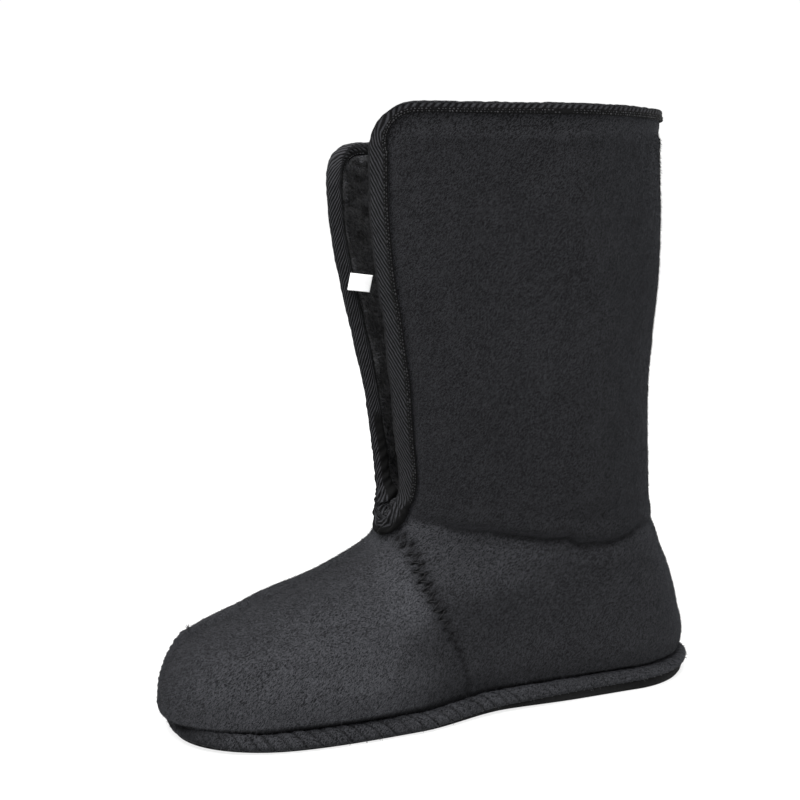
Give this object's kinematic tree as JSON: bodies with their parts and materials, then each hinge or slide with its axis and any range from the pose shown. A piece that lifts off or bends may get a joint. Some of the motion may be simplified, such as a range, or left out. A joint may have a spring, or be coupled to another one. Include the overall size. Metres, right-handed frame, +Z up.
{
  "type": "boot liner",
  "caption": "Soft fleece inner boot with an open front, tape-bound collar and flaps, and a sewn textile sole.",
  "frame": {"origin": "bottom centre of the bounding box, on the floor that the sole stands on", "axes": "+X towards the toe, +Y towards the boot's left (its inner side), +Z up the shaft"},
  "size_m": [0.292, 0.1088, 0.3009],
  "materials": {
    "fleece": "black brushed fleece with a short nap outside and a deeper pile inside",
    "sole_textile": "black felted textile with an overlocked edge",
    "twill_tape": "black folded twill tape with slanting ribs and a fine stitch line",
    "label_white": "white woven tab, blank"
  },
  "bodies": {
    "root": {"upper": "fleece", "sole": "sole_textile", "edge_binding": "twill_tape", "label": "label_white"}
  },
  "joints": []
}
